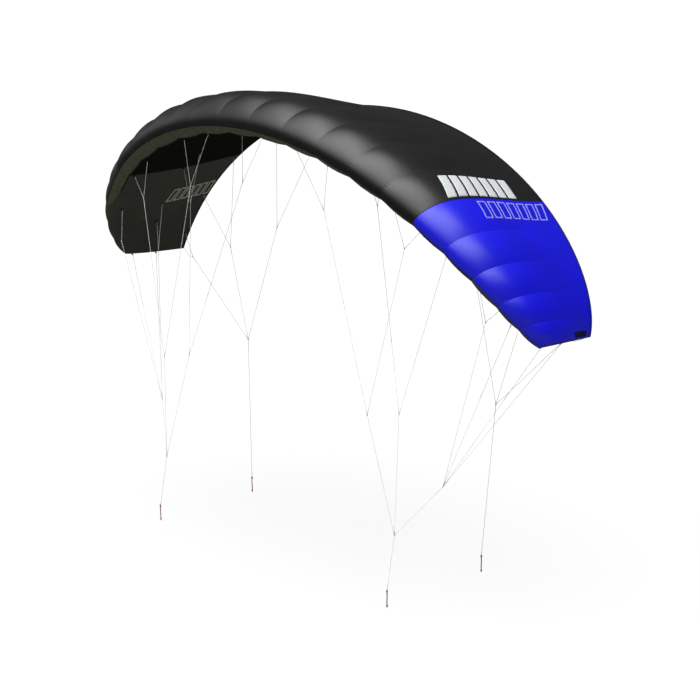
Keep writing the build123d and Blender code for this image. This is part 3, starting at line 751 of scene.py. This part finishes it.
lip_k = np.linspace(1.05 - INTAKE_TO, INTAKE_TO - 1.05, 300)
edge_tape("lip_tape", lip_k, intake_turn(lip_k), 0.012, 0.0012)
nose_k = np.linspace(-INTAKE_TO, INTAKE_TO, 320)
border = (NOSE_ROW - BORDER_ROW) / ROWS_INTAKE
edge_tape("nose_tape", nose_k, intake_turn(nose_k) * border, 0.007, 0.0010)


# ---- trailing edge hem: a tape folded over the edge ----
def hem(name, ribs, material, side):
    k_line = np.linspace(*ribs, round(abs(ribs[1] - ribs[0]) * 12) + 1)
    fold = np.linspace(-1, 1, 9)
    edge = on_sheet(k_line, np.pi)
    forward = unit(on_sheet(k_line, turn_at(0.97)) - edge)
    up = sample(OUTWARD, k_line, turn_at(0.99))
    angle = fold * np.pi / 2
    inset = np.where(np.abs(fold) > 0.99, HEM, np.where(np.abs(fold) > 0.7, HEM * 0.5, 0.0))
    back = HEM_OUT * np.cos(angle)
    height = np.sign(fold) * (HEM_OUT * np.minimum(1, np.abs(fold) * 1.4) + 0.05 * inset)
    points = (edge[:, None] + forward[:, None] * (inset - back)[None, :, None]
              + up[:, None] * height[None, :, None])
    across = sample(CLOTH_UV, k_line, np.pi)[:, :1]
    uv = np.stack(np.broadcast_arrays(across, fold * HEM), -1)
    settle(grid_object(name, points, {"cloth": uv}, material), side)


for name, ribs, side, node in PANELS:
    hem(f"hem_{name}", ribs, LOOKS[node][2], side)


# ---- plain slanted bars where the real kite carries print, and the patch ----
def bar_corners(count, gap, k_range, inner, outer):
    """Corner (rib, share) pairs of slanted bars between two sloping lines on the canopy."""
    for i in range(count):
        low, high = (i + gap / 2) / count, (i + 1 - gap / 2) / count
        ends = ((k_range[0], inner, low), (k_range[0], inner, high),
                (k_range[1], outer, high), (k_range[1], outer, low))
        yield [(k, line[0] + (line[1] - line[0]) * at) for k, line, at in ends]


def inside_corners(corners, s, t):
    """(rib, share) at unit-square coordinates inside four corners."""
    a, b, c, d = (np.array(corner) for corner in corners)
    s, t = s[..., None], t[..., None]
    return (a * (1 - s) + b * s) * (1 - t) + (d * (1 - s) + c * s) * t


def filled_grid():
    """Unit-square coordinates and faces of a filled shape."""
    s, t = np.meshgrid(np.linspace(0, 1, 7), np.linspace(0, 1, 15))
    return s, t, grid_faces(15, 7)


def outline_grid(inset):
    """Unit-square coordinates and faces of a border as wide as the inset."""
    steps, ones, zeros = np.linspace(0, 1, 9)[:-1], np.ones(8), np.zeros(8)
    s = np.concatenate((steps, ones, 1 - steps, zeros, [0]))
    t = np.concatenate((zeros, steps, ones, 1 - steps, [0]))
    s = np.stack((s, inset[0] + s * (1 - 2 * inset[0])))
    t = np.stack((t, inset[1] + t * (1 - 2 * inset[1])))
    return s, t, grid_faces(2, s.shape[1])


def printed(name, shapes, above, material, side, inset=None, lift=0.0006, nodes=()):
    """Prints on the sheet: filled shapes, or only a border of the given shares of their size."""
    points, faces, uvs = [], [], []
    s, t, quads = outline_grid(inset) if inset else filled_grid()
    for corners in shapes:
        spot = inside_corners(corners, s, t)
        turn = turn_at(np.clip(spot[..., 1], 0, 0.999), above)
        faces += (quads + len(points)).tolist()
        points += on_sheet(spot[..., 0], turn, lift).reshape(-1, 3).tolist()
        uvs += sample(CLOTH_UV, spot[..., 0], turn).reshape(-1, 2)[quads.ravel()].tolist()
    obj = new_object(name, points, faces, material, {"cloth": uvs})
    with editing(obj.data) as mesh:
        bmesh.ops.remove_doubles(mesh, verts=mesh.verts, dist=1e-6)
        bmesh.ops.recalc_face_normals(mesh, faces=mesh.faces)
    shell = obj.modifiers.new("ink thickness", "SOLIDIFY")
    shell.thickness = INK_THICKNESS
    shell.offset = 0
    settle(obj, side, nodes)


printed("print_black", list(bar_corners(7, 0.17, (4.76, 5.43), (0.27, 0.83), (0.20, 0.795))),
        True, white_ink, "right")
printed("print_blue", list(bar_corners(7, 0.20, (5.60, 6.16), (0.38, 0.985), (0.33, 0.935))),
        True, blue_ink, "right", inset=(0.16, 0.07))
printed("print_below", list(bar_corners(6, 0.16, (-6.82, -7.50), (0.57, 0.985), (0.53, 0.985))),
        False, olive_ink, "left", inset=(0.22, 0.11))
printed("corner_patch", [[(10.12, 0.62), (10.12, 0.90), (10.42, 0.89), (10.42, 0.63)]],
        True, patch_cloth, "right", lift=0.0008, nodes=["tip_patch"])

# ---- ribs: the CAD plates, cut into short pieces along the chord ----
SIDES = (("left", -1), ("right", 1))
RIB_GAP = 0.0014  # least distance from a rib's edge to the cloth over it
TUCK_FROM = 0.4  # chord share behind which the edge is drawn in to that distance
RIB_STEP = 0.05  # length of the pieces that a rib is cut into along the chord


def tuck_in(vertices):
    """Draws the rear edges of ribs in, so that they don't show through the cloth sewn over them."""
    spots = np.array([v.co for v in vertices])
    ribs = np.round(nearest_k(spots) - 0.5) + 0.5
    above = np.linspace(0.3, np.pi, 150)
    for k in np.unique(ribs):
        up = np.array((np.sin(lean(k)), 0, np.cos(lean(k))))
        base = to_frame(k, 0.0, 0.0) * (1, 0, 1)
        top, bottom = on_sheet(k, above), on_sheet(k, -above)
        mine = np.flatnonzero((ribs == k) & (spots[:, 1] > y_at(k, TUCK_FROM)))
        y, height = spots[mine, 1], (spots[mine] - base) @ up
        high = np.interp(y, top[:, 1], (top - base) @ up)
        low = np.interp(y, bottom[:, 1], (bottom - base) @ up)
        gap = np.minimum(RIB_GAP, 0.4 * (high - low))
        moved = np.clip(height, low + gap, high - gap) - height
        spots[mine] += moved[:, None] * up
    for vertex, spot in zip(vertices, spots):
        vertex.co = spot


def rib_copy(node, side, sign):
    """Copy of a rib node's plates on one side of the middle, cut into pieces along the chord."""
    copy = bpy.data.meshes.new(f"{node}_{side}_cloth")
    low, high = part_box(node)
    with editing(copy, frame["nodes"][node].data) as mesh:
        bmesh.ops.remove_doubles(mesh, verts=mesh.verts, dist=1e-6)
        away = [v for v in mesh.verts if v.co.x * sign < 0]
        bmesh.ops.delete(mesh, geom=away, context="VERTS")
        for y in np.arange(low.y + 0.03, high.y, RIB_STEP):
            every = list(mesh.verts) + list(mesh.edges) + list(mesh.faces)
            bmesh.ops.bisect_plane(mesh, geom=every, plane_co=(0, y, 0), plane_no=(0, 1, 0))
        tuck_in(mesh.verts)
    copy.materials.clear()
    copy.materials.append(rib_cloth)
    copy.polygons.foreach_set("use_smooth", [False] * len(copy.polygons))
    settle(in_scene(copy.name, copy), side, [node])


for side, sign in SIDES:
    for node in ("plain_ribs", "bridle_ribs", "tip_ribs", "centre_rib_tails", f"flap_ribs_{side}"):
        rib_copy(node, side, sign)


# ---- cords ----
GREY_LINE, WHITE_LINE = (grey_line, "line_grey"), (white_line, "line_white")
HITCH = (grey_line, "knot_cord")
PIGTAIL_KNOT = {"front": (knot_cord, "knot_cord"), "rear": (dark_red_cord, "cord_dark_red")}
PIGTAIL = {"left": (red_cord, "cord_red"), "right": (dark_cord, "cord_dark")}
SPLICE, SPLICE_TAPER, SPLICE_SWELL = 0.05, 0.012, 1.25  # length, taper and thickness of a spliced end
COIL_RADIUS, COIL_CORD, COIL_LENGTH = 0.0029, 0.00145, 0.0084  # turns of a hitch round its line
BIGHT_RADIUS, BIGHT_CORD, BIGHT_UP = 0.0034, 0.0014, 0.0035  # bight of a hitch, above its turns
EYE_RADIUS, EYE_CORD, EYE_DOWN = 0.0036, 0.0011, 0.0032  # loop through a tab
MAIN_HITCH, PIGTAIL_HITCH = 1.15, 1.35  # size of these hitches beside an ordinary one
SLACK_FROM, SLACK_UP, SLACK_SAG = 0.985, 0.012, (0, 0.008, -0.022)  # slack line at a tip
PIGTAIL_SWAY, STOPPER_RADIUS, STOPPER_LENGTH = 0.0012, 0.0030, 0.0066
DOWN = np.array((0, 0, -1.0))


def cord_mesh(path, radii, sides):
    """Vertices, faces and corner UVs of a round cord along a path, closed at both ends."""
    path = np.asarray(path, float)
    run = unit(np.gradient(path, axis=0))
    lengths = np.concatenate(([0], np.cumsum(np.linalg.norm(np.diff(path, axis=0), axis=1))))
    angles = np.arange(sides)[:, None] * math.tau / sides
    side_way = np.cross(run[0], (0.3, 0.5, 0.8))
    vertices, faces, uvs = [], [], []
    for spot, along, radius in zip(path, run, np.broadcast_to(radii, len(path))):
        side_way = unit(side_way - along * (side_way @ along))
        circle = np.cos(angles) * side_way + np.sin(angles) * np.cross(along, side_way)
        vertices += (spot + circle * radius).tolist()
    for r, (start, end) in enumerate(zip(lengths, lengths[1:])):
        for s in range(sides):
            a, b = r * sides + s, r * sides + (s + 1) % sides
            faces.append([a, b, b + sides, a + sides])
            low, high = s / sides, (s + 1) / sides
            uvs += [(low, start), (high, start), (high, end), (low, end)]
    last = (len(path) - 1) * sides
    faces += [list(range(sides))[::-1], list(range(last, last + sides))]
    uvs += [(0.5, 0.0)] * sides + [(0.5, lengths[-1])] * sides
    return vertices, faces, uvs


def cords(name, side, paths, look, body, node, sides=8):
    """One piece made of several cords, each a (path, radii) pair; a look is a (material, slot) pair, and
    its slot is not used.
    """
    vertices, faces, uvs = [], [], []
    for path, radii in paths:
        v, f, uv = cord_mesh(path, radii, sides)
        faces += [[i + len(vertices) for i in face] for face in f]
        vertices += v
        uvs += uv
    obj = new_object(f"{name}_{side}", vertices, faces, look[0], {"cord": uvs})
    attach(obj, body if body == "canopy" else f"{body}_{side}")
    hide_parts(f"{node}_{side}")


def junction(point, side):
    return ORIGIN + CELL * np.array(point) * (side, 1, 1)


def tab_eye(k, at):
    """Eye of the tab under rib k."""
    y, height = section_point(k, turn_at(at, False))
    return to_frame(np.asarray(k, float), y, height - TAB_DROP)


def straight(start, end, radius=LINE_RADIUS):
    """A tight line, thicker where its ends are spliced back into themselves."""
    start, end = np.asarray(start), np.asarray(end)
    length = np.linalg.norm(end - start)
    thick, thin = SPLICE / length, (SPLICE + SPLICE_TAPER) / length
    marks = np.array((0, thick, thin, 1 - thin, 1 - thick, 1))
    radii = radius * np.array((SPLICE_SWELL, SPLICE_SWELL, 1, 1, SPLICE_SWELL, SPLICE_SWELL))
    return start + (end - start) * marks[:, None], radii


def ring(centre, first, second, radius, cord, turns=1.0, climb=(0, 0, 0), steps=14):
    """Path of a loop or coil round a centre, in the plane of two directions."""
    angle = np.linspace(0, math.tau * turns, round(steps * turns) + 1)[:, None]
    path = centre + radius * (np.cos(angle) * first + np.sin(angle) * second)
    return path + np.linspace(-0.5, 0.5, len(path))[:, None] * climb, cord


def knot(centre, direction, size=1.0):
    """A hitch: three turns round the standing line, and the bight drawn through above them."""
    direction = unit(direction)
    first = unit(np.cross(direction, (0.2, 0.9, 0.1)))
    second = np.cross(direction, first)
    coil = ring(centre, first, second, COIL_RADIUS * size, COIL_CORD * size, 3.0,
                direction * COIL_LENGTH * size)
    bight = ring(centre - direction * BIGHT_UP * size, direction, second, BIGHT_RADIUS * size,
                 BIGHT_CORD * size)
    return [coil, bight]


def tab_loop(k, at):
    """The line's own loop through the eye of a tab and round its lower edge."""
    angle = float(lean(k))
    down = np.array((-math.sin(angle), 0, -math.cos(angle)))
    span = np.array((math.cos(angle), 0, -math.sin(angle)))
    return ring(tab_eye(k, at) + down * EYE_DOWN, down, span, EYE_RADIUS, EYE_CORD)


def rib_lines(row, sign):
    """A row's lines from the tabs to their junctions, with the loops through the tabs."""
    share, meetings = ROWS[row]
    paths = []
    for ribs, meeting in meetings:
        for k in ribs:
            paths.append(straight(tab_eye(sign * k, share), junction(meeting, sign)))
            paths.append(tab_loop(sign * k, share))
    return paths


def level(pairs, sign):
    """Lines between junctions."""
    return [straight(junction(start, sign), junction(end, sign)) for start, end in pairs]


def hitches(pairs, sign, size=1.0):
    """A knot at the first junction of each pair, on the line that runs to the second."""
    paths = []
    for start, end in pairs:
        a, b = junction(start, sign), junction(end, sign)
        paths += knot(a, b - a, size)
    return paths


def front_bridle(side, sign):
    """Three levels from rows A and C down to the front knot, some lines spliced from grey to white."""
    grey, white = [], []
    for row in ("upper_lines_a", "upper_lines_c"):
        share = ROWS[row][0]
        eye, meeting = tab_eye(sign * TIP_RIB, share), junction(JOIN_TIP, sign)
        splice = eye + (meeting - eye) * TIP_GREY_SHARE[share]
        paths = rib_lines(row, sign) + [straight(eye, splice), tab_loop(sign * TIP_RIB, share)]
        cords(f"rib_lines_{row[-1]}", side, paths, GREY_LINE, "canopy", row)
        white.append(straight(splice, meeting))
    for start, end in SECOND_LEVEL:
        a, b = junction(start, sign), junction(end, sign)
        splice = a + (b - a) * GREY_SHARE.get(start, 0.0)
        if start in GREY_SHARE:
            grey.append(straight(a, splice))
        white.append(straight(splice, b))
    cords("second_lines_grey", side, grey, GREY_LINE, "canopy", "middle_lines")
    cords("second_lines_white", side, white, WHITE_LINE, "canopy", "middle_lines")
    cords("third_lines", side, level(THIRD_LEVEL, sign), WHITE_LINE, "canopy", "lower_lines")
    knots = hitches(SECOND_LEVEL + THIRD_LEVEL, sign)
    cords("hitches_front", side, knots, HITCH, "canopy", "bridle_knots")
    main = hitches([(FRONT_KNOT, FRONT_END)], sign, MAIN_HITCH)
    cords("main_hitch_front", side, main, HITCH, "canopy", "front_knot")


def brake_bridle(side, sign):
    """Two levels from the trailing edge down to the rear knot, and the slack line at the tip."""
    corner = tab_eye(sign * TIP_RIB, SLACK_FROM) + np.array((0, 0, SLACK_UP))
    t = np.linspace(0, 1, 15)[:, None]
    slack = corner + (junction(B_TIP, sign) - corner) * t + np.array(SLACK_SAG) * np.sin(np.pi * t)
    paths = rib_lines("brake_upper_lines", sign) + [(slack, LINE_RADIUS * 0.8)]
    cords("brake_rib_lines", side, paths, GREY_LINE, "brake", "brake_upper_lines")
    lower = level(BRAKE_LEVEL, sign)
    cords("brake_gather_lines", side, lower, GREY_LINE, "brake", "brake_lower_lines")
    cords("hitches_brake", side, hitches(BRAKE_LEVEL, sign), HITCH, "brake", "brake_knots")
    main = hitches([(REAR_KNOT, REAR_END)], sign, MAIN_HITCH)
    cords("main_hitch_rear", side, main, HITCH, "brake", "rear_knot")


def pigtail(pivot, sign):
    """Sheathed cord that sways a little, with an overhand stopper knot near its cut end."""
    t = np.linspace(0, 1, 26)
    path = pivot + DOWN * (PIVOT * 0.4 + (PIGTAIL_LENGTH + PIVOT * 0.6) * t)[:, None]
    path[:, 0] += PIGTAIL_SWAY * np.sin(t * math.tau) * sign
    radii = np.full(len(t), PIGTAIL_RADIUS)
    radii[0], radii[-1] = PIGTAIL_RADIUS * 0.7, PIGTAIL_RADIUS * 0.8
    centre = pivot + DOWN * (PIVOT + PIGTAIL_LENGTH - STOPPER_UP)
    across, ahead = np.array((1.0, 0, 0)), np.array((0, 1.0, 0))
    stopper = ring(centre, across, ahead, STOPPER_RADIUS, STOPPER_RADIUS, 1.8,
                   DOWN * STOPPER_LENGTH, 16)
    return [(path, radii), stopper]


def main_line(end, top, bottom, look, side, sign):
    """A main line, the hitch of its pigtail and the pigtail, each on a body of its own."""
    a, b = junction(top, sign), junction(bottom, sign)
    gap = unit(b - a) * PIVOT * 0.3
    cord = [straight(a + gap, b - gap, MAIN_RADIUS)]
    cords(f"{end}_main_cord", side, cord, look, f"{end}_line", f"{end}_main_line")
    hitch = knot(b, DOWN, PIGTAIL_HITCH)
    cords(f"{end}_pigtail_hitch", side, hitch, PIGTAIL_KNOT[end], f"{end}_loop",
          f"{end}_pigtail_knot")
    tail = pigtail(b, sign)
    cords(f"{end}_tail", side, tail, PIGTAIL[side], f"{end}_tail", f"{end}_pigtail", sides=12)


for side, sign in SIDES:
    front_bridle(side, sign)
    brake_bridle(side, sign)
    main_line("front", FRONT_KNOT, FRONT_END, WHITE_LINE, side, sign)
    main_line("rear", REAR_KNOT, REAR_END, GREY_LINE, side, sign)

# ---- the tabs are the CAD plates, in webbing ----
for node in ("front_tabs", "brake_tabs_left", "brake_tabs_right"):
    for slot in frame["nodes"][node].material_slots:
        slot.link = "OBJECT"
        slot.material = webbing

# ---- studio: floor, light and camera ----
FLOOR_HALF, FLOOR_DOWN = 60.0, 0.004  # half size, and how far it lies under the kite
FLOOR_GLOW, FLOOR_WHITE = 0.82, 0.985  # share and strength of its own light, seen by the camera
PANEL, PANEL_AHEAD = 3.6, math.radians(17)  # brightness, and angle of its middle ahead of straight up
PANEL_DEPTH = (math.radians(4), math.radians(56))  # full and faded edge, either side of its middle
PANEL_LEFT, PANEL_RIGHT = (-0.90, -0.30), (0.50, 0.90)  # where its light fades in and out along X
SIDE, SIDE_LEFT, SIDE_UP = 0.5, (-0.97, -0.80), (-0.10, 0.25)  # weaker panel at the left
SIDE_FRONT = (0.0, 0.4)  # where its light fades out along Y
ROOM = (0.03, 0.08)  # brightness of the room, below and above


def stage_floor():
    f = Finish("studio floor")
    place, _ = f.place()
    tone = f.mix(f.noise(place, 0.8), (0.90, 0.90, 0.90, 1), (0.94, 0.94, 0.94, 1))
    corners = [(x * FLOOR_HALF, y * FLOOR_HALF, cad_low.z - FLOOR_DOWN)
               for x, y in ((-1, -1), (1, -1), (1, 1), (-1, 1))]
    # pale to the camera, but darker to the light that bounces up under the kite
    ray = f.add("LightPath").outputs
    glow = f.add("Emission", {"Color": (1, 1, 1, 1), "Strength": FLOOR_WHITE}).outputs[0]
    pale = f.either(FLOOR_GLOW, f.surface(tone, 0.9, None, 0.0), glow)
    bounce = f.mix(ray["Is Glossy Ray"], (0.28, 0.28, 0.28, 1), (0.06, 0.06, 0.06, 1))
    look = f.either(ray["Is Camera Ray"], f.surface(bounce, 0.9, None, 0.0), pale)
    new_object("studio_floor", corners, [[0, 1, 2, 3]], f.done(look))


def stage_light():
    """A wide soft panel above and a little ahead of the kite, in a dim room; white to the camera."""
    f = Finish("studio", "worlds")
    bpy.context.scene.world = f.owner
    place = f.add("TexCoord").outputs["Generated"]
    x, y, z = f.add("SeparateXYZ", {0: place}).outputs
    ahead = f.math("ARCTAN2", f.times(y, -1.0), z)
    from_panel = f.math("ABSOLUTE", f.minus(ahead, PANEL_AHEAD))
    panel = f.fade(from_panel, *PANEL_DEPTH, 1.0, 0.0)
    panel = f.times(panel, f.fade(x, *PANEL_LEFT))
    panel = f.times(panel, f.fade(x, *PANEL_RIGHT, 1.0, 0.0))
    room = f.fade(z, -0.2, 0.9, *ROOM)
    side = f.times(f.fade(x, *SIDE_LEFT, SIDE, 0.0), f.fade(z, *SIDE_UP))
    side = f.times(side, f.fade(y, *SIDE_FRONT, 1.0, 0.0))
    strength = f.plus(f.times(panel, PANEL), f.plus(room, side))
    lit = f.add("Background", {0: (0.98, 0.99, 1.0, 1), 1: strength}).outputs[0]
    white = f.add("Background", {0: (1, 1, 1, 1), 1: 1.0}).outputs[0]
    seen = f.add("LightPath").outputs["Is Camera Ray"]
    f.add("OutputWorld", {"Surface": f.either(seen, lit, white)})


def soft_lamp(name, energy, width, place):
    """A distant lamp, as wide as an angle, that shines from a direction."""
    lamp = bpy.data.lights.new(name, "SUN")
    lamp.energy, lamp.angle = energy, math.radians(width)
    obj = in_scene(name, lamp)
    obj.rotation_mode = "QUATERNION"
    obj.rotation_quaternion = Vector(place).to_track_quat("Z", "Y")
    return obj


def light_lines():
    """Soft light from the front that falls only on the pale lines, which stand upright."""
    front = soft_lamp("line_light", 2.2, 60, (0.3, -0.9, 0.1))
    lines = bpy.data.collections.new("pale lines")
    for obj in bpy.context.scene.objects:
        if obj.type == "MESH" and obj.active_material in (white_line, grey_line):
            lines.objects.link(obj)
    front.light_linking.receiver_collection = lines


AZIMUTH, ELEVATION, ROLL = math.radians(49.07), math.radians(13.36), math.radians(-0.66)
CAMERA_DISTANCE, LENS = 43.01 * CELL, 105.54
AIM = (2.151 * CELL, -4.563 * CELL)  # to the right of and above the middle attachment point


def stage_camera():
    back = Vector((math.sin(AZIMUTH) * math.cos(ELEVATION),
                   -math.cos(AZIMUTH) * math.cos(ELEVATION), math.sin(ELEVATION)))
    right = Vector((math.cos(AZIMUTH), math.sin(AZIMUTH), 0))
    up = back.cross(right)
    target = Vector(ORIGIN) + right * AIM[0] + up * AIM[1]
    turned_right = math.cos(ROLL) * right + math.sin(ROLL) * up
    turned_up = math.cos(ROLL) * up - math.sin(ROLL) * right
    camera = bpy.data.cameras.new("photo view")
    camera.lens = LENS
    camera.clip_end = 300
    obj = in_scene("photo_view", camera)
    axes = Matrix((turned_right, turned_up, back)).transposed()
    obj.matrix_world = Matrix.Translation(target + back * CAMERA_DISTANCE) @ axes.to_4x4()
    bpy.context.scene.camera = obj


stage_floor()
stage_light()
soft_lamp("key", 0.3, 40, (-0.1, -0.3, 0.9))
light_lines()
stage_camera()
bpy.context.scene.view_settings.view_transform = "Standard"
